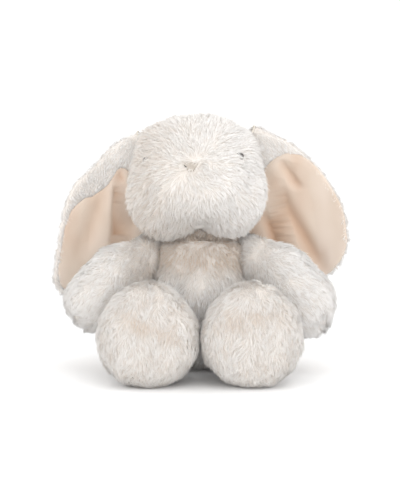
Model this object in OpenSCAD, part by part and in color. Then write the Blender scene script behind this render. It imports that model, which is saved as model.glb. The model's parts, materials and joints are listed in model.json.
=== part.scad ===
// Seated plush bunny with long hanging ears: fur covers, stuffing, eyes, threads
// and seat pellets as separate pieces. Millimetres, +Z up, the toy faces -Y and
// its own left side is +X. The origin is the centre of the flat seat.

/* [Cloth] */

// Thickness of a fur cover: backing cloth with the dense foot of the pile
cover_t = 2.4; // [1.6:0.2:3.2]

// Slack between the stuffing and its cover
slack = 0.4; // [0.2:0.1:0.8]

// Opening of a sewn seam between two cloth panels
seam = 0.3; // [0.2:0.1:0.6]

// Radius of the sewing thread rings
thread_r = 0.6; // [0.4:0.1:0.7]

/* [Torso] */

// Half spacing of the two seat lobes
seat_x = 14; // [12:1:16]

// Radius of the seat lobes
seat_r = 50; // [48:0.5:51]

// Height of the seat lobes' centres, less than their radius so the seat is flat
seat_z = 45; // [44:0.5:46]

// Half spacing of the two chest lobes
chest_x = 12; // [10:1:12]

// Radius of the chest lobes
chest_r = 35; // [33:0.5:35.5]

// Height of the chest lobes' centres
chest_z = 104; // [100:1:105]

// Radius of the pouch of plastic pellets in the seat
pouch_r = 24; // [18:1:28]

// Thickness of the pellet pouch's cloth
pouch_t = 1; // [0.6:0.2:1.6]

/* [Tail] */

// Radius of the round tail
tail_r = 19; // [16:1:21]

// Height of the tail's centre
tail_z = 36; // [32:1:40]

/* [Head] */

// Sideways lean of the resting head, its own left side up
head_lean = 3; // [0:0.5:4]

// Turn of the resting head towards its own right
head_turn = 4; // [0:0.5:5]

// Radius of the cranium lobes
skull_r = 56; // [54:0.5:57]

// Height of the cranium lobes' centres
skull_z = 203; // [200:1:206]

// Half spacing of the cheek lobes
cheek_x = 33; // [30:1:34]

// Radius of the cheek lobes
cheek_r = 37; // [35:0.5:38]

// Radius of the muzzle lobes
muzzle_r = 36; // [33:0.5:37]

// Radius of the eye domes
eye_r = 5; // [4:0.25:6]

// Half spacing of the eyes
eye_x = 48; // [44:1:50]

// Height of the eyes
eye_z = 222; // [219:1:225]

// Half width of the stitched nose
nose_w = 7; // [5:0.5:9]

/* [Ears] */

// Half thickness of a flat ear
ear_t = 6.5; // [5.5:0.5:7]

// Radius of an ear's broad upper lobe
ear_r = 36.5; // [34:0.5:37]

// Radius of an ear's rounded tip lobe
ear_tip_r = 42; // [38:1:43]

// Width of the fur rim round an ear's smooth lining
ear_rim = 6; // [4:0.5:9]

/* [Arms] */

// Radius of an arm at the shoulder
shoulder_r = 20; // [18:0.5:20.5]

// Radius of a paw
paw_r = 31; // [28:0.5:31]

/* [Legs] */

// Radius of a leg at the hip
hip_r = 23; // [21:0.5:23.5]

// Half thickness of a foot, also the rounding of its rim
foot_t = 28; // [25:0.5:29]

// Radius of the round foot pad
foot_r = 49; // [46:0.5:49]

/* [Hidden] */

span = 900;              // edge of the blocks that cut panels apart
give = 1.9;              // gap between a limb's root ball and its socket
facets = 20;             // facets round a lobe
floor_z = 0.2;           // clearance of the feet over the floor

stuff_in = cover_t + slack;

// Centres of the lobes and root balls on the toy's own left side.
chest = [chest_x, -3, chest_z];
neck = [0, chest.y, 140];
neck_r = 24;
neck_rise = 12;          // height of the neck between its two lobes
skull = [10, -3, skull_z];
cheek = [cheek_x, -24, 182];
muzzle = [18, -46, 196];
ear = [65, 14, 240];
ear_ball = 8;
shoulder = [60, -10, 113];
elbow = [86, -28, 103];
elbow_r = 26;
paw = [106, -42, 77];
hip = [46, -54.5, 34];
knee = [51, -85, 41];
knee_r = 29;
foot = [52, -109, foot_r + floor_z];
tail = [0, seat_r + 9, tail_z];
pouch = [10, 0, 34];

function lobe(p, r, s = 1) = [s * p.x, p.y, p.z, r];
torso_lobes = [for (s = [-1, 1]) each [
  lobe([seat_x, 0, seat_z], seat_r, s), lobe(chest, chest_r, s)]];
head_lobes = [for (s = [-1, 1]) each [
  lobe(skull, skull_r, s), lobe(cheek, cheek_r, s), lobe(muzzle, muzzle_r, s)]];
neck_lobes = [lobe(neck, neck_r), lobe(neck + [0, 0, neck_rise], neck_r)];
arm_lobes = [lobe(shoulder, shoulder_r), lobe(elbow, elbow_r), lobe(paw, paw_r)];
torso_split_y = 2;       // seam between the torso's front and back panels
head_split_y = 10;       // seam between the head's face and back panels

eye_dir = [0.67, -0.65, 0.36];
eye_at = [eye_x, -41.5, eye_z];
stem_r = 1.6;            // stem of an eye
stem_len = 12;
stem_hole_r = 1.9;       // hole for the stem in the cover and in the washer
washer_r = 7;
washer_t = 1.5;
washer_deep = 8.5;       // depth of the washer behind the face
eye_pocket_r = 8;        // pocket in the stuffing for the stem and washer
eye_pocket_deep = 15;
nose_dir = [0, -0.81, 0.585];
nose_at = [0, -75.2, 217];
nose_t = 2.2;            // thickness of the stitched nose
nose_deep = 1;           // how much of it lies under the face
nose_round = 1.5;
nose_top = 3;
nose_bottom = 4;

fur_col = [0.93, 0.91, 0.89];
lining_col = [0.87, 0.77, 0.70];
fill_col = [0.97, 0.97, 0.96];
thread_col = [0.85, 0.82, 0.77];
bead_col = [0.80, 0.82, 0.84];
eye_col = [0.13, 0.09, 0.07];
nose_col = [0.76, 0.66, 0.60];

// Rounded body of lobes, each lobe's radius reduced by inset.
module blob(lobes, inset) hull() for (b = lobes)
  translate([b[0], b[1], b[2]]) sphere(r = b[3] - inset, $fn = facets);

// Turns +Z to the direction d at the point p.
module aim(p, d) translate(p)
  rotate([0, acos(d.z / norm(d)), atan2(d.y, d.x)]) children();

// Half space beyond the plane through p that faces d, half a seam away.
module beyond(p, d) aim(p, d)
  translate([-span / 2, -span / 2, seam / 2]) cube(span);

// Ball-shaped hollow in which a limb's root ball turns.
module socket(p, r, inset) translate(p) sphere(r = r + give + inset, $fn = facets);

// Ring of thread in the gap round a root ball, on the side that d faces.
module root_thread(p, r, d, lat) aim(p, d)
  translate([0, 0, (r + give / 2) * sin(lat)]) rotate_extrude($fn = 48)
    translate([(r + give / 2) * cos(lat), 0]) circle(r = thread_r, $fn = 12);

module left() children();
module right() mirror([1, 0, 0]) children();

// ---- torso ----
module torso_form(inset) difference() {
  intersection() {
    blob(torso_lobes, inset);
    translate([-span / 2, -span / 2, inset]) cube(span);
  }
  socket(neck, neck_r, inset);
  translate(tail) sphere(r = tail_r + seam + inset, $fn = facets);
  for (s = [-1, 1]) {
    socket([s * shoulder.x, shoulder.y, shoulder.z], shoulder_r, inset);
    socket([s * hip.x, hip.y, hip.z], hip_r, inset);
  }
}

module torso_walls() difference() {
  torso_form(0);
  torso_form(cover_t);
  translate([-span / 2, -span / 2, cover_t + seam - span]) cube(span);
}

module torso_front_cover() color(fur_col) intersection() {
  torso_walls();
  beyond([0, torso_split_y, 0], [0, -1, 0]);
}

module torso_back_half() color(fur_col) intersection() {
  torso_walls();
  beyond([0, torso_split_y, 0], [0, 1, 0]);
  beyond([0, 0, 0], [1, 0, 0]);
}

module seat_panel() color(fur_col) intersection() {
  torso_form(0);
  translate([-span / 2, -span / 2, 0]) cube([span, span, cover_t]);
}

module pouch_form(inset) blob([for (s = [-1, 1]) lobe(pouch, pouch_r, s)], inset);

module torso_stuffing() color(fill_col) difference() {
  torso_form(stuff_in);
  pouch_form(-slack);
}

module pellet_pouch() color(thread_col) difference() {
  pouch_form(0);
  pouch_form(pouch_t);
}

module pellets() color(bead_col) pouch_form(pouch_t + slack / 2);

// The line of the back from the seat lobes to the chest lobes, in Y and Z.
back_line = [chest.y, chest_z - seat_z];
back_rise = back_line / norm(back_line);
back_tilt = asin((seat_r - chest_r) / norm(back_line));
back_out = [back_rise.y * cos(back_tilt) + back_rise.x * sin(back_tilt),
            -back_rise.x * cos(back_tilt) + back_rise.y * sin(back_tilt)];
stitch_foot = [0, 0, seat_z] + (seat_r + thread_r + slack) * [0, back_out.x, back_out.y];
stitch_up = 5;           // start of the stitch above its foot, clear of the tail
stitch_len = 34;

module back_closing_stitch() color(thread_col)
  aim(stitch_foot, [0, -back_out.y, back_out.x]) translate([0, 0, stitch_up])
    cylinder(r = thread_r, h = stitch_len, $fn = 16);

module tail_cover() color(fur_col) difference() {
  translate(tail) sphere(r = tail_r, $fn = facets);
  translate(tail) sphere(r = tail_r - cover_t, $fn = facets);
}

module tail_stuffing() color(fill_col)
  translate(tail) sphere(r = tail_r - stuff_in, $fn = facets);

module neck_gather_thread() color(thread_col) root_thread(neck, neck_r, [0, 0, -1], 44);

module neck_seam_thread() color(thread_col) root_thread(neck, neck_r, [0, 0, -1], 22);

// ---- head, built upright and then set at its resting lean and turn ----
module posed() translate(neck) rotate([0, -head_lean, -head_turn]) translate(-neck)
  children();

module head_form(inset) difference() {
  blob(head_lobes, inset);
  for (s = [-1, 1]) socket([s * ear.x, ear.y, ear.z], ear_ball, inset);
}

// Room for an eye: the seat of its dome, and the hole of its stem.
module eye_room() aim(eye_at, eye_dir) {
  cylinder(r = eye_r + slack, h = 2 * eye_r, $fn = 24);
  translate([0, 0, -stem_len - 2]) cylinder(r = stem_hole_r, h = stem_len + 4, $fn = 16);
}

module nose_form(grow) aim(nose_at, nose_dir)
  rotate([0, 0, 90]) translate([0, 0, -nose_deep - grow]) linear_extrude(nose_t + 2 * grow)
    offset(r = nose_round + grow, $fn = 16)
      polygon([[-nose_w + nose_round, nose_top], [nose_w - nose_round, nose_top],
               [nose_round, -nose_bottom], [-nose_round, -nose_bottom]]);

module head_walls() difference() {
  head_form(0);
  head_form(cover_t);
  blob(neck_lobes, cover_t);
  eye_room();
  mirror([1, 0, 0]) eye_room();
  nose_form(slack / 2);
}

module head_side_half() color(fur_col) intersection() {
  head_walls();
  beyond([0, head_split_y, 0], [0, -1, 0]);
  beyond([0, 0, 0], [1, 0, 0]);
}

module head_back_cover() color(fur_col) posed() intersection() {
  head_walls();
  beyond([0, head_split_y, 0], [0, 1, 0]);
}

module neck_cover() color(fur_col) posed() difference() {
  blob(neck_lobes, 0);
  blob(neck_lobes, cover_t);
  blob(head_lobes, -slack);
}

module head_stuffing() color(fill_col) posed() difference() {
  union() {
    head_form(stuff_in);
    blob(neck_lobes, stuff_in);
  }
  for (s = [0, 1]) mirror([s, 0, 0]) aim(eye_at, eye_dir)
    translate([0, 0, -eye_pocket_deep])
      cylinder(r = eye_pocket_r, h = 2 * eye_pocket_deep, $fn = 24);
}

module eye() color(eye_col) aim(eye_at, eye_dir) {
  intersection() {
    translate([0, 0, -0.3 * eye_r]) sphere(r = eye_r, $fn = 32);
    translate([-eye_r, -eye_r, slack / 2]) cube(2 * eye_r);
  }
  translate([0, 0, -stem_len]) cylinder(r = stem_r, h = stem_len + 1, $fn = 16);
}

module eye_washer() color(thread_col) aim(eye_at, eye_dir)
  translate([0, 0, -washer_deep]) difference() {
    cylinder(r = washer_r, h = washer_t, $fn = 32);
    translate([0, 0, -1]) cylinder(r = stem_hole_r, h = washer_t + 2, $fn = 24);
  }

module nose_stitching() color(nose_col) posed() nose_form(0);

// ---- ears ----
ear_low = [113, 42, 118];
ear_mid = [102, 27, 184];
ear_slope = atan((ear_low.y - ear.y) / (ear.z - ear_low.z));
ear_face = [0, cos(ear_slope), sin(ear_slope)];
lining_at = ear - 1.5 * ear_face;    // seam plane between an ear's fur and its lining

module leaf_lobe(p, r, inset) translate(p) rotate([ear_slope, 0, 0])
  scale([1, ear_t / r, 1]) sphere(r = r - inset, $fn = facets);

module ear_leaf(inset) hull() {
  leaf_lobe(ear_mid, ear_r, inset);
  leaf_lobe(ear_low, ear_tip_r, inset);
}

module ear_form() hull() {
  translate(ear) sphere(r = ear_ball, $fn = facets);
  ear_leaf(0);
}

module ear_back() color(fur_col) intersection() {
  ear_form();
  beyond(lining_at, ear_face);
}

module ear_lining() color(lining_col) intersection() {
  ear_leaf(ear_rim);
  beyond(lining_at, -ear_face);
}

module ear_thread() color(thread_col) root_thread(ear, ear_ball, [-0.85, -0.2, 0.45], 55);

// ---- arms ----
module arm_form(inset) blob(arm_lobes, inset);

arm_cut = [-0.35, -1, -0.12];

module arm_front_cover() color(fur_col) intersection() {
  difference() { arm_form(0); arm_form(cover_t); }
  beyond(shoulder, arm_cut);
}

module arm_back_cover() color(fur_col) intersection() {
  difference() { arm_form(0); arm_form(cover_t); }
  beyond(shoulder, -arm_cut);
}

module arm_stuffing() color(fill_col) arm_form(stuff_in);

module shoulder_thread() color(thread_col) root_thread(shoulder, shoulder_r, [-1, 0, 0], 55);

// ---- legs ----
// Half of a foot pad's section: flat in the middle, round at the rim.
module foot_section(inset) intersection() {
  hull() for (x = [0, foot_r - foot_t])
    translate([x, 0]) circle(r = foot_t - inset, $fn = 20);
  translate([0, -foot_t]) square([foot_r, 2 * foot_t]);
}

module leg_form(inset) hull() {
  translate(hip) sphere(r = hip_r - inset, $fn = facets);
  translate(knee) sphere(r = knee_r - inset, $fn = facets);
  translate(foot) rotate([90, 0, 0]) rotate_extrude($fn = 30)
    foot_section(inset);
}

sole_at = [0, -137, 74];
sole_cut = [0, -74, -36];

module leg_cover() color(fur_col) intersection() {
  difference() { leg_form(0); leg_form(cover_t); }
  beyond(sole_at, -sole_cut);
}

module sole_cover() color(fur_col) intersection() {
  difference() { leg_form(0); leg_form(cover_t); }
  beyond(sole_at, sole_cut);
}

module leg_stuffing() color(fill_col) leg_form(stuff_in);

module hip_thread() color(thread_col) root_thread(hip, hip_r, [-0.35, 1, 0], 58);

torso_front_cover();
left() torso_back_half();  // torso_back_left_cover
right() torso_back_half();  // torso_back_right_cover
seat_panel();
torso_stuffing();
pellet_pouch();
pellets();
back_closing_stitch();
tail_cover();
tail_stuffing();
neck_gather_thread();
neck_seam_thread();
posed() left() head_side_half();  // head_left_cover
posed() right() head_side_half();  // head_right_cover
head_back_cover();
neck_cover();
head_stuffing();
nose_stitching();
posed() left() eye();  // left_eye
posed() right() eye();  // right_eye
posed() left() eye_washer();  // left_eye_washer
posed() right() eye_washer();  // right_eye_washer
posed() left() ear_thread();  // left_ear_thread
posed() left() ear_back();  // left_ear_back
posed() left() ear_lining();  // left_ear_lining
posed() right() ear_thread();  // right_ear_thread
posed() right() ear_back();  // right_ear_back
posed() right() ear_lining();  // right_ear_lining
left() shoulder_thread();  // left_shoulder_thread
left() arm_front_cover();  // left_arm_front_cover
left() arm_back_cover();  // left_arm_back_cover
left() arm_stuffing();  // left_arm_stuffing
right() shoulder_thread();  // right_shoulder_thread
right() arm_front_cover();  // right_arm_front_cover
right() arm_back_cover();  // right_arm_back_cover
right() arm_stuffing();  // right_arm_stuffing
left() hip_thread();  // left_hip_thread
left() leg_cover();  // left_leg_cover
left() sole_cover();  // left_sole_cover
left() leg_stuffing();  // left_leg_stuffing
right() hip_thread();  // right_hip_thread
right() leg_cover();  // right_leg_cover
right() sole_cover();  // right_sole_cover
right() leg_stuffing();  // right_leg_stuffing
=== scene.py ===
"""Looks of the seated long-haired plush bunny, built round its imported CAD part.

Every fur cover of the CAD part is replaced by a soft skin that follows the same outline, with a
coat of combed, clumped strands growing on it. Units are metres, the toy faces -Y."""

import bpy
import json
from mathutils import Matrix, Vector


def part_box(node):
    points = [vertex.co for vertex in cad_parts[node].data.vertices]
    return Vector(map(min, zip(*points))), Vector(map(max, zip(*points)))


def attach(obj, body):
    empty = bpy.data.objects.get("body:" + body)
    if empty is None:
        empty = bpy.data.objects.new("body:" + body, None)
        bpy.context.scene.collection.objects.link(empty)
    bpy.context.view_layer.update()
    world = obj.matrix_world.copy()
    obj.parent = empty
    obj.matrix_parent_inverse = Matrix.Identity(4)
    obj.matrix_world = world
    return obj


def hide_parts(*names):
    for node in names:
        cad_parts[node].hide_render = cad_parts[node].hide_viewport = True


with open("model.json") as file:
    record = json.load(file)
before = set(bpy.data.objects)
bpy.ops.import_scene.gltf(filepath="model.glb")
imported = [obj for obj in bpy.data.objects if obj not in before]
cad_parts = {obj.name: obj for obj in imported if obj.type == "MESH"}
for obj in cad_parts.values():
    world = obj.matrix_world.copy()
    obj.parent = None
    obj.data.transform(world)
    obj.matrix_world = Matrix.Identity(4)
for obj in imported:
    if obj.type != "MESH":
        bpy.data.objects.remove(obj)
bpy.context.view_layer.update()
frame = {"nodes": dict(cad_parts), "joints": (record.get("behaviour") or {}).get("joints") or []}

import json
import math

import bmesh
import bpy
import numpy as np
from mathutils import Matrix, Vector, bvhtree, kdtree

MM = 0.001
SIDES = ("left", "right")
SIGN = {"left": 1, "right": -1}
UP = Vector((0, 0, 1))
VOXEL = 3.2 * MM          # size of the cells that round off a skin
FLOOR_CLEAR = 0.5 * MM    # fur pressed against the floor stops here
SKIN_CLEAR = 0.05 * MM    # and a skin here

# The pile.
COAT_MAX = 19000          # strands in one piece of a coat
STRAND_W = 0.3 * MM       # radius of a strand at its root
KNEE_W = 0.8              # share of that radius left half way up
PILE_SINK = 1.0 * MM      # how deep a strand is rooted in its skin
PILE_SOFT = 0.84          # share of the skin's normal in a strand's shading normal
PILE_TINT = 0.66          # middle of the tint, from 0 dark beige to 1 white
PARTING_SHADE = 0.2         # how much painted shade darkens the pile at a parting
PARTED_W = 12 * MM        # reach of that painted shade
COMB_REACH = 20 * MM      # distance from a parting at which the comb has its full hold
WHORL_R = 9 * MM          # radius of a whorl
BIG_SWIRL = 0.03          # size of the wide swirls in the pile
SMALL_SWIRL = 0.01        # of the narrow ones
LONG_PATCH = 0.018        # and of the patches of longer pile
SIGHT = 0.03              # a skin further off than this hides nothing

rng = np.random.default_rng(11)


# ---------------------------------------------------------------- materials
def linear(code):
    """Linear RGBA of an sRGB colour written in hex."""
    parts = [int(code[i:i + 2], 16) / 255 for i in (0, 2, 4)]
    return [c / 12.92 if c < 0.04045 else ((c + 0.055) / 1.055) ** 2.4 for c in parts] + [1.0]


def add(tree, kind, settings=(), links=()):
    """A shader node with its settings, input values and links."""
    node = tree.nodes.new("ShaderNode" + kind)
    for key, value in dict(settings).items():
        if isinstance(key, int) or key in node.inputs:
            node.inputs[key].default_value = value
        else:
            setattr(node, key, value)
    for socket, source in dict(links).items():
        tree.links.new(source, node.inputs[socket])
    return node


def ramp(tree, source, stops):
    """A colour ramp through stops of (place, sRGB hex)."""
    node = add(tree, "ValToRGB", links={"Fac": source})
    while len(node.color_ramp.elements) < len(stops):
        node.color_ramp.elements.new(0.5)
    for element, (at, code) in zip(node.color_ramp.elements, stops):
        element.position, element.color = at, linear(code)
    return node.outputs["Color"]


def material(name, roughness, **shader):
    """An empty Principled material: its tree, its shader and itself."""
    mat = bpy.data.materials.new(name)
    mat.use_nodes = True
    tree = mat.node_tree
    bsdf = tree.nodes["Principled BSDF"]
    bsdf.inputs["Roughness"].default_value = roughness
    for key, value in shader.items():
        bsdf.inputs[key.replace("_", " ")].default_value = value
    return mat, tree, bsdf


def noise(tree, scale, detail=3.0, kind="TexNoise", stretch=(1, 1, 1)):
    """A texture laid out in object space; scale is in cells per metre."""
    coord = add(tree, "TexCoord")
    mapping = add(tree, "Mapping", {"Scale": stretch}, {"Vector": coord.outputs["Object"]})
    settings = {"Scale": scale} if kind == "TexVoronoi" else {"Scale": scale, "Detail": detail}
    return add(tree, kind, settings, {"Vector": mapping.outputs["Vector"]})


def bump(tree, bsdf, height, distance, strength=0.6):
    """Relief on a shader, of a height texture scaled to a distance in metres."""
    node = add(tree, "Bump", {"Distance": distance, "Strength": strength}, {"Height": height})
    tree.links.new(node.outputs["Normal"], bsdf.inputs["Normal"])


def fur_material():
    """Faux fur pile: along each strand (u) it pales to the tip, and strands differ in tint (v)."""
    mat, tree, bsdf = material("white_faux_fur_pile", 0.75, Sheen_Weight=0.35,
                               Sheen_Roughness=0.6, Sheen_Tint=linear("fffaf4"))
    uv = add(tree, "UVMap", {"uv_map": "OFBake"})
    xyz = add(tree, "SeparateXYZ", links={"Vector": uv.outputs["UV"]})
    along = ramp(tree, xyz.outputs["X"], [(0.0, "f4ece5"), (0.45, "fbf9f7"), (1.0, "fefdfd")])
    # The tint (v) holds each strand's own tone together with the painted light and shade that the
    # tint functions add.
    tint = ramp(tree, xyz.outputs["Y"],
                [(0.0, "dbcab9"), (0.25, "e9e0d7"), (0.5, "f7f5f2"), (1.0, "fefefe")])
    mixed = add(tree, "Mix", {"data_type": "RGBA", "blend_type": "MULTIPLY", 0: 1.0},
                {6: along, 7: tint})
    tree.links.new(mixed.outputs[2], bsdf.inputs["Base Color"])
    return mat


def backing_material():
    """Knitted backing cloth of the fur, seen only between the strands. Its cream is toned down as
    painted shade, since it lies in the shade under the pile.
    """
    mat, tree, bsdf = material("cream_fur_backing_knit", 0.9)
    cells = noise(tree, 900, kind="TexVoronoi")
    colour = ramp(tree, cells.outputs["Distance"], [(0.0, "ddd6cf"), (1.0, "e7e1db")])
    tree.links.new(colour, bsdf.inputs["Base Color"])
    bump(tree, bsdf, cells.outputs["Distance"], 0.3 * MM)
    return mat


def lining_material():
    """Short velour of the ear linings: brushed patches over a fine nap, with painted shade in the
    pleats, where the attribute "pleat" rises to 1."""
    mat, tree, bsdf = material("peach_velour_lining", 0.7, Sheen_Weight=0.5,
                               Sheen_Roughness=0.35, Sheen_Tint=linear("fff2e8"))
    patches = noise(tree, 26, 2.0, stretch=(1, 1, 0.4))
    colour = ramp(tree, patches.outputs["Fac"],
                  [(0.3, "cab4a2"), (0.5, "d1c1b2"), (0.7, "d8c9bc")])
    pleat = add(tree, "Attribute", {"attribute_name": "pleat"})
    # Painted shade: the lining darkens where the pleats press in.
    dark = ramp(tree, pleat.outputs["Fac"], [(0.0, "ffffff"), (0.5, "f1dfd1"), (1.0, "cc9e7a")])
    mixed = add(tree, "Mix", {"data_type": "RGBA", "blend_type": "MULTIPLY", 0: 1.0},
                {6: colour, 7: dark})
    nap = noise(tree, 1400, 2.0, stretch=(1, 1, 0.35))
    tree.links.new(mixed.outputs[2], bsdf.inputs["Base Color"])
    bump(tree, bsdf, nap.outputs["Fac"], 0.25 * MM, 0.5)
    return mat


def plain_material(name, low, high, roughness, scale, distance, kind="TexNoise",
                   stretch=(1, 1, 1), **shader):
    """A two-tone surface whose colour and relief come from one texture."""
    mat, tree, bsdf = material(name, roughness, **shader)
    texture = noise(tree, scale, kind=kind, stretch=stretch)
    value = texture.outputs["Distance" if kind == "TexVoronoi" else "Fac"]
    tree.links.new(ramp(tree, value, [(0.25, low), (0.75, high)]), bsdf.inputs["Base Color"])
    bump(tree, bsdf, value, distance)
    return mat


FUR = fur_material()
BACKING = backing_material()
LINING = lining_material()
FILLING = plain_material("polyester_fibre_filling", "e8e8e6", "fbfbfa", 0.95, 260, 0.8 * MM)
POUCH = plain_material("plain_woven_pouch_cloth", "d8d2c8", "e9e4da", 0.9, 1500, 0.2 * MM)
PELLET = plain_material("small_plastic_pellets", "b9bfc4", "e3e6e8", 0.45, 330, 1.2 * MM,
                        "TexVoronoi")
THREAD = plain_material("twisted_sewing_thread", "c9c1b2", "e6dfd2", 0.8, 900, 0.15 * MM,
                        stretch=(1, 1, 0.3))
WASHER = plain_material("moulded_plastic_washer", "d3d3d0", "dededc", 0.5, 200, 0.05 * MM)
EYE = plain_material("polished_dark_eye_plastic", "1a120d", "2a1e17", 0.08, 90, 0.02 * MM,
                     Coat_Weight=0.6, Coat_Roughness=0.05)
NOSE = plain_material("satin_stitched_nose_thread", "a9a096", "c3bab0", 0.6, 700, 0.3 * MM,
                      stretch=(1, 0.2, 1))
DARK_THREAD = plain_material("dark_finishing_thread", "17120f", "2c241f", 0.7, 900, 0.1 * MM)


# ---------------------------------------------------------------- skins
def new_object(name, mesh, mat):
    """A mesh as an object of one material, at the origin."""
    obj = bpy.data.objects.new(name, mesh)
    bpy.context.scene.collection.objects.link(obj)
    mesh.materials.clear()
    mesh.materials.append(mat)
    return obj


def hull_skin(name, nodes, mat, voxel=VOXEL, rounds=6, deepen=Vector()):
    """A smooth closed skin round the outline of some CAD nodes, drawn out by a vector."""
    bm = bmesh.new()
    for node in nodes:
        for vert in frame["nodes"][node].data.vertices:
            bm.verts.new(vert.co)
            bm.verts.new(vert.co + deepen)
    bmesh.ops.remove_doubles(bm, verts=bm.verts, dist=0.05 * MM)
    hull = bmesh.ops.convex_hull(bm, input=bm.verts)
    spare = {g for key in ("geom_interior", "geom_unused") for g in hull[key]
             if isinstance(g, bmesh.types.BMVert)}
    bmesh.ops.delete(bm, geom=list(spare), context="VERTS")
    mesh = bpy.data.meshes.new(name)
    bm.to_mesh(mesh)
    bm.free()
    return remeshed(new_object(name, mesh, mat), voxel, rounds)


def remeshed(obj, voxel, rounds):
    """Rebuilds the object's surface in even cells and relaxes it."""
    mod = obj.modifiers.new("cells", "REMESH")
    mod.mode, mod.voxel_size = "VOXEL", voxel
    graph = bpy.context.evaluated_depsgraph_get()
    mesh = bpy.data.meshes.new_from_object(obj.evaluated_get(graph))
    obj.modifiers.clear()
    old, obj.data = obj.data, mesh
    mesh.name = old.name
    bpy.data.meshes.remove(old)
    shape(obj, lambda bm: [bmesh.ops.smooth_vert(bm, verts=bm.verts, factor=0.5, use_axis_x=True,
                                                 use_axis_y=True, use_axis_z=True)
                           for _ in range(rounds)])
    mesh.shade_smooth()
    return obj


def shape(obj, work):
    """Runs work on the object's mesh as a bmesh."""
    bm = bmesh.new()
    bm.from_mesh(obj.data)
    work(bm)
    bm.normal_update()
    bm.to_mesh(obj.data)
    bm.free()
    obj.data.update()


def swell(obj, at, reach, push):
    """Pushes the skin near a point, most at the point itself; at, reach (along each axis) and
    push are in millimetres."""
    at, reach, push = Vector(at) * MM, Vector(reach) * MM, Vector(push) * MM
    def work(bm):
        for v in bm.verts:
            d = v.co - at
            v.co += push * math.exp(-sum((d[i] / reach[i]) ** 2 for i in range(3)))
    shape(obj, work)


def hollow(obj, at, radius):
    """Presses the skin out of a ball, as round the root of a limb."""
    def work(bm):
        for v in bm.verts:
            d = v.co - at
            if d.length < radius:
                v.co = at + d.normalized() * radius
    shape(obj, work)


# ---------------------------------------------------------------- fur
def arrays(obj):
    """Vertex positions and normals and the triangles of an object's mesh."""
    mesh = obj.data
    mesh.calc_loop_triangles()
    co, no = (np.empty(3 * len(mesh.vertices)) for _ in range(2))
    tri = np.empty(3 * len(mesh.loop_triangles), dtype=np.int32)
    mesh.vertices.foreach_get("co", co)
    mesh.vertices.foreach_get("normal", no)
    mesh.loop_triangles.foreach_get("vertices", tri)
    return co.reshape(-1, 3), no.reshape(-1, 3), tri.reshape(-1, 3)


def unit(v):
    """Rows of an array as unit vectors."""
    return v / np.maximum(np.linalg.norm(v, axis=1, keepdims=True), 1e-9)


def drift(points, wave, seed):
    """A smooth random vector field whose swirls are about one wave long."""
    local = np.random.default_rng(seed)
    out = np.zeros_like(points)
    for _ in range(5):
        k = unit(local.normal(size=(1, 3)))[0] * 2 * math.pi / (wave * local.uniform(0.7, 1.5))
        out += np.sin(points @ k + local.uniform(0, 6.3))[:, None] * local.normal(size=(1, 3))
    return out / 2.2


def buried(points, skins, margin):
    """Which points lie inside one of the closed skins, or within the margin of it."""
    found = np.zeros(len(points), bool)
    for skin in skins:
        tree = bvhtree.BVHTree.FromObject(skin, bpy.context.evaluated_depsgraph_get())
        for i, p in enumerate(points):
            if not found[i]:
                at, _, _, dist = tree.find_nearest(Vector(p), SIGHT)
                if at is not None:
                    ahead, normal, _, _ = tree.ray_cast(Vector(p), UP)
                    inside = ahead is not None and normal.dot(UP) > 0
                    found[i] = dist < margin or inside
    return found


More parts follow.
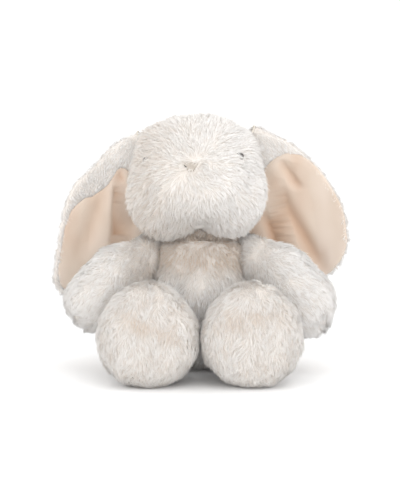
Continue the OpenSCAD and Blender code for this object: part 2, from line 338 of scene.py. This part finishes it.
def grow(name, skin, body, count, size, lean, comb, tint=None, bare=None, whorl=None,
         swirl=0.33, tuft=6 * MM, clump=0.36, hang=0.25, soft=PILE_SOFT):
    """A coat of bent, tapered strands on a skin, in as few pieces as COAT_MAX allows.

    comb(points, normals) gives the way the pile is brushed, size its length, lean its angle
    from upright in degrees, bare(points) where none grows, tint(points) how much whiter it is,
    whorl a point round which it stands up, swirl how restless it is, tuft the spacing of the
    locks that the tips gather into, clump how much, and hang how far the tips droop."""
    co, no, tri = arrays(skin)
    area = np.linalg.norm(np.cross(co[tri[:, 1]] - co[tri[:, 0]],
                                   co[tri[:, 2]] - co[tri[:, 0]]), axis=1) / 2
    pick = rng.choice(len(tri), count, p=area / area.sum())
    mix = rng.dirichlet((1, 1, 1), count)[:, :, None]
    root = (co[tri[pick]] * mix).sum(axis=1)
    normal = unit((no[tri[pick]] * mix).sum(axis=1))
    if bare is not None:
        grown = ~bare(root)
        root, normal = root[grown], normal[grown]
    full, count = count, len(root)

    way = comb(root, normal)
    far = np.linalg.norm(way, axis=1, keepdims=True)
    parted = 1 - np.clip(far / PARTED_W, 0, 1)[:, 0]
    way = way / np.maximum(far, COMB_REACH)
    way = way + swirl * drift(root, BIG_SWIRL, full) + 0.24 * drift(root, SMALL_SWIRL, full + 1)
    way += rng.normal(0, 0.12, root.shape)
    way = unit(way - normal * (way * normal).sum(axis=1, keepdims=True))
    angle = np.radians(lean * rng.uniform(0.8, 1.15, count))[:, None]
    if whorl is not None:
        apart = np.linalg.norm(root - np.array(whorl), axis=1)[:, None]
        angle *= np.clip(apart / WHORL_R, 0.4, 1)
    rise = unit(normal * np.cos(angle) + way * np.sin(angle) + rng.normal(0, 0.08, root.shape))
    fall = unit(rise + way * 0.45 - np.array([0, 0, hang]) + rng.normal(0, 0.1, root.shape))
    reach = size * rng.uniform(0.75, 1.12, count)[:, None]
    reach *= 1 + 0.14 * drift(root, LONG_PATCH, full + 2)[:, :1]
    knee = root + rise * reach * 0.5
    tip = knee + fall * reach * 0.5

    # Locks: the tips draw together on the tip of the nearest leading strand.
    leads = rng.permutation(count)[:max(8, int(area.sum() * count / full / tuft ** 2))]
    tree = kdtree.KDTree(len(leads))
    for i, lead in enumerate(leads):
        tree.insert(root[lead], i)
    tree.balance()
    near = leads[np.fromiter((tree.find(r)[1] for r in root), int, count)]
    draw = clump * rng.uniform(0.4, 1.1, count)[:, None]
    offset = root - root[near]
    tip += draw * (tip[near] + 0.25 * offset - tip)
    knee += 0.4 * draw * (knee[near] + 0.6 * offset - knee)
    shade = PILE_TINT + 0.08 * rng.normal(size=count) + 0.05 * rng.normal(size=count)[near]
    # Painted shade darkens the pile near a parting, where the strands part.
    shade -= PARTING_SHADE * parted
    # The tint functions add painted light and shade to chosen regions.
    if tint is not None:
        shade += tint(root)
    order = np.argsort(root[:, 0])
    for i, part in enumerate(np.array_split(order, math.ceil(count / COAT_MAX)), 1):
        strands(f"{name}_{i}", body, (root - normal * PILE_SINK)[part], knee[part], tip[part],
                normal[part], soft, shade[part])


def strands(name, body, root, knee, tip, normal, soft, shade):
    """Closed three-sided strands from root over knee to tip, as one piece.

    Their shading normals lean towards the skin's normal by the share soft, which gives the
    soft, even look of dense pile. Sides that face the skin keep their own."""
    count = len(root)
    side = unit(np.cross(tip - root, rng.normal(size=root.shape)))
    front = unit(np.cross(tip - root, side))
    verts = np.empty((count, 7, 3))
    for k in range(3):
        turn = 2 * math.pi * k / 3
        spoke = side * math.cos(turn) + front * math.sin(turn)
        verts[:, k] = root + spoke * STRAND_W
        verts[:, 3 + k] = knee + spoke * STRAND_W * KNEE_W
    verts[:, 6] = tip
    verts[..., 2] = np.maximum(verts[..., 2], FLOOR_CLEAR)
    centre = np.stack([root] * 3 + [knee] * 3 + [root], axis=1)
    spread = unit((verts - centre).reshape(-1, 3)).reshape(verts.shape)
    facing = (spread * normal[:, None]).sum(axis=2, keepdims=True)
    share = soft * np.clip(0.65 + 0.6 * facing, 0, 1)
    shading = unit((spread * (1 - share) + normal[:, None] * share).reshape(-1, 3))
    corners = np.array([0, 1, 4, 3, 1, 2, 5, 4, 2, 0, 3, 5, 3, 4, 6, 4, 5, 6, 5, 3, 6, 0, 2, 1])
    sizes = np.array([4, 4, 4, 3, 3, 3, 3])
    loops = (np.arange(count)[:, None] * 7 + corners).ravel()
    starts = (np.arange(count)[:, None] * len(corners)
              + np.concatenate(([0], np.cumsum(sizes)[:-1]))).ravel()
    along = np.array([0, 0, 0, 0.5, 0.5, 0.5, 1])[corners]
    across = np.array([-1, 0, 1, -1, 0, 1, 0])[corners] * 0.012
    uv = np.stack([np.broadcast_to(0.02 + 0.96 * along, (count, len(corners))),
                   np.clip(shade, 0.03, 0.97)[:, None] + across], axis=-1)
    mesh = bpy.data.meshes.new(name)
    mesh.vertices.add(count * 7)
    mesh.vertices.foreach_set("co", verts.ravel())
    mesh.loops.add(len(loops))
    mesh.loops.foreach_set("vertex_index", loops)
    mesh.polygons.add(len(starts))
    mesh.polygons.foreach_set("loop_start", starts)
    mesh.update(calc_edges=True)
    mesh.uv_layers.new(name="OFBake").data.foreach_set("uv", uv.ravel())
    mesh.shade_smooth()
    mesh.normals_split_custom_set_from_vertices(shading)
    obj = new_object(name, mesh, FUR)
    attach(obj, body)


def above_floor(bm):
    """Flattens a skin where it would pass through the floor."""
    for v in bm.verts:
        v.co.z = max(v.co.z, SKIN_CLEAR)


def dress(skin, body, nodes):
    """Flattens a skin where it meets the floor, hangs it on its body and hides the CAD nodes it
    stands for.
    """
    shape(skin, above_floor)
    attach(skin, body)
    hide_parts(*nodes)


# ---------------------------------------------------------------- where things are
def pivot(name):
    """Where the axis of a joint lies at rest."""
    return Vector(next(j for j in frame["joints"] if j["name"] == name)["pos_m"])


def mid(node):
    """Middle of a CAD node's box."""
    lo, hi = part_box(node)
    return (Vector(lo) + Vector(hi)) / 2


NECK = pivot("head_turn")
NOSE_AT = mid("nose_stitching")
EYES_AT = {s: mid(f"{s}_eye") for s in SIDES}
TORSO = ["torso_front_cover", "torso_back_left_cover", "torso_back_right_cover", "seat_panel"]
HEAD = ["head_left_cover", "head_right_cover", "head_back_cover"]

# Pleats of each ear in its own frame, in millimetres: where one starts and ends (outwards from
# the middle line, up from the middle), its half width, and how deep it presses in.
CREASES = {
    "left": [((-30, 60), (8, -60), 8, 6),
             ((-12, 70), (0, 36), 5, 5),
             ((-40, 20), (-30, -60), 6, 7)],
    "right": [((-17, 74), (-19, -60), 5, 9),
              ((-6, 60), (18, -30), 9, 4),
              ((-34, 60), (-30, -60), 5, 4)],
}
DEEPEST = 9               # depth of the pleat that gets the deepest painted shade
LINING_DEEP = 1.8 * MM    # how far a lining reaches into the ear behind it
LINING_OUT = {"left": (9, 11), "right": (5, 11)}    # let out on its outer and its inner side
LINING_SPINE = 42         # half the length of the line that a lining is let out from
LINING_CORE = 12          # what lies this near that line stays
LINING_LIFT = 1.2         # how far forward it is moved as well
CUP = 10                  # how far forward the ear's edge curls, at CUP_AT from its middle line
CUP_AT = 38
# Where an ear's outline is pushed: a point, a reach and a push, in millimetres.
EAR_PUSH = {
    "left": [((66, 14, 246), (22, 30, 16), (-1, 0, -2)),
             ((125, 22, 214), (26, 40, 22), (-6, 0, -2)),
             ((148, 30, 165), (26, 40, 24), (5, 0, 1)),
             ((152, 42, 100), (26, 40, 30), (-5, 0, 0)),
             ((60, 34, 143), (32, 40, 42), (-25, 0, 0))],
    "right": [((-66, 14, 244), (22, 30, 16), (3, 0, -3)),
              ((-125, 25, 208), (26, 40, 24), (7, 0, -4)),
              ((-150, 45, 92), (30, 40, 34), (-8, 0, -21)),
              ((-152, 30, 150), (24, 40, 34), (-4, 0, 0)),
              ((-60, 38, 132), (28, 40, 42), (14, 0, 0))],
}


def ear_frame(s):
    """Centre of an ear's lining, and its outward, upward and facing directions."""
    co = np.array([v.co for v in frame["nodes"][f"{s}_ear_lining"].data.vertices])
    axes = np.linalg.svd(co - co.mean(axis=0), full_matrices=False)[2]
    up, face = axes[0] * np.sign(axes[0][2]), -axes[2] * np.sign(axes[2][1])
    out = np.cross(face, up)
    return co.mean(axis=0), out * np.sign(out[0]) * SIGN[s], up, face


def bend_ear(obj, axes, creases):
    """Curls the ear's edges forward, presses pleats into it and notes them as "pleat", the weight
    of the lining's painted shade.
    """
    centre, out, up, face = (Vector(a) for a in axes)
    pleat = []

    def work(bm):
        for v in bm.verts:
            a, b = (v.co - centre).dot(out) / MM, (v.co - centre).dot(up) / MM
            pressed, mark = 0, 0
            for (a0, b0), (a1, b1), wide, deep in creases:
                t = (b - b0) / (b1 - b0)
                fade = min(1, max(0, 4 * t)) * min(1, max(0, 4 * (1.1 - t)))
                near = fade * math.exp(-((a - a0 - t * (a1 - a0)) / wide) ** 2)
                pressed += deep * near
                mark = max(mark, near * (deep / DEEPEST) ** 2)
            v.co += face * (CUP * max(0, a / CUP_AT) ** 2 - pressed) * MM
            pleat.append(mark)
    shape(obj, work)
    obj.data.attributes.new("pleat", "FLOAT", "POINT").data.foreach_set("value", pleat)


def widen(obj, axes, outer, inner):
    """Lets out a lining sideways and upwards, by the outer or inner allowance."""
    centre, out, up, face = (Vector(a) for a in axes)
    def work(bm):
        for v in bm.verts:
            a, b = (v.co - centre).dot(out) / MM, (v.co - centre).dot(up) / MM
            way = Vector((a, b - max(-LINING_SPINE, min(LINING_SPINE, b))))
            grow_by = outer if a > 0 else inner
            if way.length > LINING_CORE:
                v.co += (out * way.x + up * way.y).normalized() * grow_by * MM
            v.co += face * LINING_LIFT * MM
    shape(obj, work)


torso = hull_skin("torso_skin", TORSO, BACKING)
head = hull_skin("head_skin", HEAD, BACKING)
tail = hull_skin("tail_skin", ["tail_cover"], BACKING, rounds=2)
neck = hull_skin("neck_skin", ["neck_cover"], BACKING, rounds=1)
arms, legs, ears, linings = {}, {}, {}, {}
ear_frames = {s: ear_frame(s) for s in SIDES}
for s in SIDES:
    arms[s] = hull_skin(f"{s}_arm_skin", [f"{s}_arm_front_cover", f"{s}_arm_back_cover"], BACKING)
    legs[s] = hull_skin(f"{s}_leg_skin", [f"{s}_leg_cover", f"{s}_sole_cover"], BACKING)
    ears[s] = hull_skin(f"{s}_ear_skin", [f"{s}_ear_back"], BACKING, voxel=2.2 * MM, rounds=3)
    linings[s] = hull_skin(f"{s}_ear_lining_cloth", [f"{s}_ear_lining"], LINING,
                           voxel=1.8 * MM, rounds=30,
                           deepen=Vector(ear_frames[s][3]) * -LINING_DEEP)

# The torso gives way round the roots of the limbs and the head.
ARM_HOLLOW, LEG_HOLLOW, NECK_HOLLOW = 21.9 * MM, 24.9 * MM, 25.5 * MM
for s in SIDES:
    hollow(torso, pivot(f"{s}_arm_swing"), ARM_HOLLOW)
    hollow(torso, pivot(f"{s}_leg_lift"), LEG_HOLLOW)
hollow(torso, NECK, NECK_HOLLOW)

# Shapes that the CAD covers leave out. Each line says where, how far the push reaches along each
# axis, and the push, in millimetres of the part's own frame.
for s in SIDES:
    k = SIGN[s]
    inward = (mid("head_stuffing") - EYES_AT[s]).normalized()
    swell(head, EYES_AT[s] / MM, (8, 8, 6), inward * 2.4)              # sunken eye
    swell(head, (k * 36 - 1, -38, 150), (24, 34, 18), (0, -2, -5))     # chin lobes
    swell(head, (k * 50, -58, 190), (6, 20, 12), (-k, 2.2, 0))         # beside the muzzle
    swell(head, (k * 26, -74, 197), (16, 16, 12), (0, -4, 0))          # muzzle
    swell(head, (k * 60, 12, 243), (16, 24, 14), (k * 5, 0, 7))        # towards the ear
    swell(legs[s], (k * 52, -112, 100), (40, 40, 22), (0, 0, 6))       # instep
    swell(arms[s], (k * 53, -12, 129), (14, 20, 12), (-k * 4, 0, 6))   # shoulder
    swell(torso, (k * 38, -8, 124), (13, 20, 12), (k * 3, -1, 6))      # beside the neck
swell(head, (-2, -80, 197), (14, 16, 4), (0, 2.2, 1))                  # mouth
swell(head, (3, -76, 214), (4, 10, 8), (0, 2.2, 0))                    # bridge of the nose
swell(head, (13, -76, 209), (7, 12, 3.5), (0, 2.2, 0))                 # ruffle beside it
swell(head, (0, -46, 147), (11, 50, 12), (0, 3, 7))                    # between the chin lobes
swell(arms["left"], (112, -46, 58), (24, 30, 22), (3, 0, -7))          # heavier paw
swell(torso, (0, -44, 78), (30, 24, 32), (0, -14, 2))                  # belly
swell(torso, (0, -35, 133), (26, 14, 12), (0, -4, 7))                  # chest under the chin
swell(neck, (0, -27, 138), (20, 14, 14), (0, 5, 0))                    # throat
swell(head, (-4, -5, 260), (50, 60, 26), (0, 0, 3))                    # crown
swell(linings["right"], (-122, 28, 200), (26, 40, 28), (17, 0, -13))   # fur folds over it

# Ears: each is cupped and pleated, its smooth lining let out nearly to the edge.
for s in SIDES:
    widen(linings[s], ear_frames[s], *LINING_OUT[s])
    for obj in (ears[s], linings[s]):
        for change in EAR_PUSH[s]:
            swell(obj, *change)
        bend_ear(obj, ear_frames[s], CREASES[s])

dress(torso, "torso", TORSO)
dress(head, "head", HEAD)
dress(neck, "head", ["neck_cover"])
dress(tail, "torso", ["tail_cover"])
for s in SIDES:
    dress(arms[s], f"{s}_arm", [f"{s}_arm_front_cover", f"{s}_arm_back_cover"])
    dress(legs[s], f"{s}_leg", [f"{s}_leg_cover", f"{s}_sole_cover"])
    dress(ears[s], f"{s}_ear", [f"{s}_ear_back"])
    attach(linings[s], f"{s}_ear")
    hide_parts(f"{s}_ear_lining")


# A short end of dark thread shows at one corner of the nose.
THREAD_R, THREAD_LONG, THREAD_TILT = 0.55 * MM, 3.4, math.radians(40)
nose_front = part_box("nose_stitching")[0][1]
corner = Vector((NOSE_AT.x - 5.5 * MM, nose_front + 0.5 * MM, NOSE_AT.z + 1 * MM))
bm = bmesh.new()
bmesh.ops.create_uvsphere(bm, u_segments=12, v_segments=8, radius=THREAD_R)
bmesh.ops.scale(bm, verts=bm.verts, vec=(THREAD_LONG, 1, 1))
bmesh.ops.rotate(bm, verts=bm.verts, matrix=Matrix.Rotation(THREAD_TILT, 3, "Y"))
bmesh.ops.translate(bm, verts=bm.verts, vec=corner)
stitch_mesh = bpy.data.meshes.new("nose_thread_end")
bm.to_mesh(stitch_mesh)
bm.free()
stitch_mesh.shade_smooth()
thread_end = new_object("nose_thread_end", stitch_mesh, DARK_THREAD)
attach(thread_end, "head")


# ---------------------------------------------------------------- coats
def away_from(point, pull=(0, 0, 0)):
    """Brushed outwards from a point, with a steady pull added."""
    centre, steady = np.array(point), np.array(pull)
    return lambda p, n: p - centre + steady * np.linalg.norm(p - centre, axis=1, keepdims=True)


def hidden_by(skins, margin):
    """No pile inside the skins or within a margin of them."""
    return lambda p: buried(p, skins, margin)


NOSE_BARE, EYE_BARE = 2 * MM, 3 * MM      # no pile grows within these distances
CHEST_LOW, CHEST_HIGH = 0.08, 0.116       # the chest turns from painted light to beige painted shade between these
ARM_INNER, ARM_OUTER = 0.065, 0.085       # and an arm's beige painted shade fades to white, outwards
NECK_RIM = 31 * MM                        # reach of the pile that stands round the neck
PAD_SHADE_W = 7 * MM                         # width of the band of painted shade on a foot pad
EAR_SPINE = 45 * MM                       # half the length of the line that an ear's pile leaves
EAR_HOLD = 30 * MM                        # distance from it at which the pile points outwards
# Where a band of painted shade runs across the pile of each foot pad, as in a crease, in
# millimetres.
PAD_SHADE_LINE = {"left": ((18, -137, 68), (86, -137, 82)), "right": ((-95, -137, 84), (-24, -137, 55))}


def head_light_and_shade_tint(p):
    """Painted shade on the right cheek and painted light on the left one, as if lit from the toy's
    left.
    """
    return np.clip(p[:, 0] / 0.05, -1, 0.4) * 0.3 * (p[:, 1] < 0)


def head_bare(p):
    """The pile of the head leaves out the neck, the nose and the eyes."""
    gone = buried(p, [neck], 1 * MM) | (np.linalg.norm(p - np.array(NOSE_AT), axis=1) < NOSE_BARE)
    for at in EYES_AT.values():
        gone |= np.linalg.norm(p - np.array(at), axis=1) < EYE_BARE
    return gone


def chest_light_and_shade_tint(p):
    """Painted light, whiter pile, on the belly and painted shade, beiger pile, high on the chest
    under the chin.
    """
    rise = np.clip((p[:, 2] - CHEST_LOW) / (CHEST_HIGH - CHEST_LOW), 0, 1)
    return (0.3 - 0.85 * rise) * (p[:, 1] < 0)


def arm_light_and_shade_tint(p):
    """Painted shade, beiger pile, where an arm meets the chest, and painted light on the left arm.
    """
    meets = np.clip((ARM_OUTER - np.abs(p[:, 0])) / (ARM_OUTER - ARM_INNER), 0, 1)
    meets *= p[:, 1] < -10 * MM
    return 0.15 * (p[:, 0] > 0) - 0.3 * meets


def foot_shade_tint(start, end):
    """Painted shade on a foot's pile, deepest in a band along a line between two points in
    millimetres.
    """
    start, along = np.array(start) * MM, (np.array(end) - np.array(start)) * MM

    def tint(p):
        t = np.clip((p - start) @ along / (along @ along), 0, 1)
        off = np.linalg.norm(p - start - t[:, None] * along, axis=1)
        return -0.2 - 0.22 * np.exp(-(off / PAD_SHADE_W) ** 2)
    return tint


def torso_comb(p, n):
    """Down the body, but up and out of the hollow round the neck."""
    down = away_from((0, 0.02, 0.2), (0, 0, -0.6))(p, n)
    out = p - np.array(NECK)
    near = np.linalg.norm(out, axis=1, keepdims=True) < NECK_RIM
    out[:, 2] = 0.5 * np.hypot(out[:, 0], out[:, 1])
    return np.where(near, unit(out) * 20 * MM, down)


def ear_comb(s):
    """Brushed from the ear's root to its tip, outwards behind and inwards over the lining."""
    root = np.array(pivot(f"{s}_ear_lift"))
    centre, _, up, face = ear_frames[s]

    def comb(p, n):
        along = np.clip((p - centre) @ up, -EAR_SPINE, EAR_SPINE)
        edge = p - centre - along[:, None] * up
        edge -= (edge @ face)[:, None] * face
        inwards = np.clip(3 * (n @ face) - 1.2, -1, 1)[:, None]     # 1 on the face, -1 behind
        off = np.linalg.norm(edge, axis=1, keepdims=True)
        return 0.6 * unit(p - root) - inwards * edge / np.maximum(off, EAR_HOLD)
    return comb


def downwards(p, n):
    """Hanging straight down."""
    return np.broadcast_to([0.0, 0.0, -1.0], p.shape)


grow("head_fur", head, "head", count=28000, size=11 * MM, lean=64,
     comb=away_from(NOSE_AT, (0, 0.1, -0.35)), bare=head_bare, whorl=NOSE_AT, tint=head_light_and_shade_tint)
grow("neck_fur", neck, "head", count=15000, size=13 * MM, lean=50,
     comb=downwards, bare=hidden_by([head, torso], -1 * MM), tint=chest_light_and_shade_tint)
grow("torso_fur", torso, "torso", count=22000, size=10 * MM, lean=58,
     comb=torso_comb, bare=hidden_by([*arms.values(), *legs.values(), tail], 1.5 * MM),
     tint=chest_light_and_shade_tint)
grow("tail_fur", tail, "torso", count=4200, size=9 * MM, lean=35,
     comb=away_from(mid("tail_cover")), bare=hidden_by([torso], 1 * MM))
for s in SIDES:
    shoulder = pivot(f"{s}_arm_swing")
    instep = (SIGN[s] * 52 * MM, -55 * MM, 130 * MM)
    grow(f"{s}_arm_fur", arms[s], f"{s}_arm", count=15000, size=9.5 * MM, lean=62,
         comb=away_from(shoulder, (0, 0, -0.2)), bare=hidden_by([torso], 1 * MM),
         whorl=shoulder, tint=arm_light_and_shade_tint)
    grow(f"{s}_leg_fur", legs[s], f"{s}_leg", count=26000, size=9.5 * MM, lean=62,
         comb=away_from(instep, (0, 0, -0.3)), bare=hidden_by([torso], 1 * MM),
         tint=foot_shade_tint(*PAD_SHADE_LINE[s]))
    # The ear pile is tinted whiter all over: painted light, against the grey shading of its thin
    # pile.
    grow(f"{s}_ear_fur", ears[s], f"{s}_ear", count=21000, size=6.5 * MM, lean=70,
         comb=ear_comb(s), bare=hidden_by([linings[s]], 0.4 * MM), tint=lambda p: 0.12,
         clump=0.2, swirl=0.15, soft=0.45)

# ---------------------------------------------------------------- pieces kept from the CAD part
LOOKS = {"nose": NOSE, "stuffing": FILLING, "thread": THREAD, "stitch": THREAD,
         "washer": WASHER, "pouch": POUCH, "pellets": PELLET, "eye": EYE}
for node_name, obj in frame["nodes"].items():
    look = next((m for key, m in LOOKS.items() if key in node_name), None)
    if look:
        obj.data.materials.clear()
        obj.data.materials.append(look)

# ---------------------------------------------------------------- studio
FLOOR_SIZE = 9
AIM = Vector((0, -0.030, 0.1263))         # what the camera and the lamps point at
REACH, RISE = 2.2, math.radians(8)        # distance of the camera and how high it looks from
VIEW_WIDTH = 0.412                        # what it sees at that distance
SENSOR = 36                               # millimetres
WORLD_LIGHT = 1.22

bpy.ops.mesh.primitive_plane_add(size=FLOOR_SIZE)
floor = bpy.context.object
floor.name = "studio_floor"
floor.data.materials.append(plain_material("studio_white_paper", "f7f7f7", "ffffff", 0.9, 3,
                                           0.01 * MM))

world = bpy.data.worlds.new("studio")
bpy.context.scene.world = world
world.use_nodes = True
world.node_tree.nodes["Background"].inputs["Color"].default_value = (1, 1, 1, 1)
world.node_tree.nodes["Background"].inputs["Strength"].default_value = WORLD_LIGHT


def softbox(name, at, target, size, power):
    """A square lamp of a size in metres and a power in watts, turned to a target."""
    light = bpy.data.lights.new(name, "AREA")
    light.size, light.energy = size, power
    obj = bpy.data.objects.new(name, light)
    bpy.context.scene.collection.objects.link(obj)
    obj.location = at
    obj.rotation_euler = (Vector(target) - Vector(at)).to_track_quat("-Z", "Y").to_euler()


softbox("key", (0.5, -0.9, 1.8), AIM, 1.3, 4)
softbox("fill", (0.1, -1.9, 0.4), AIM, 1.8, 14)

camera = bpy.data.objects.new("camera", bpy.data.cameras.new("camera"))
bpy.context.scene.collection.objects.link(camera)
camera.location = AIM + REACH * Vector((0, -math.cos(RISE), math.sin(RISE)))
camera.rotation_euler = (AIM - camera.location).to_track_quat("-Z", "Y").to_euler()
camera.data.sensor_fit = "HORIZONTAL"
camera.data.sensor_width = SENSOR
camera.data.lens = SENSOR * REACH / VIEW_WIDTH
bpy.context.scene.camera = camera
bpy.context.scene.view_settings.view_transform = "Standard"
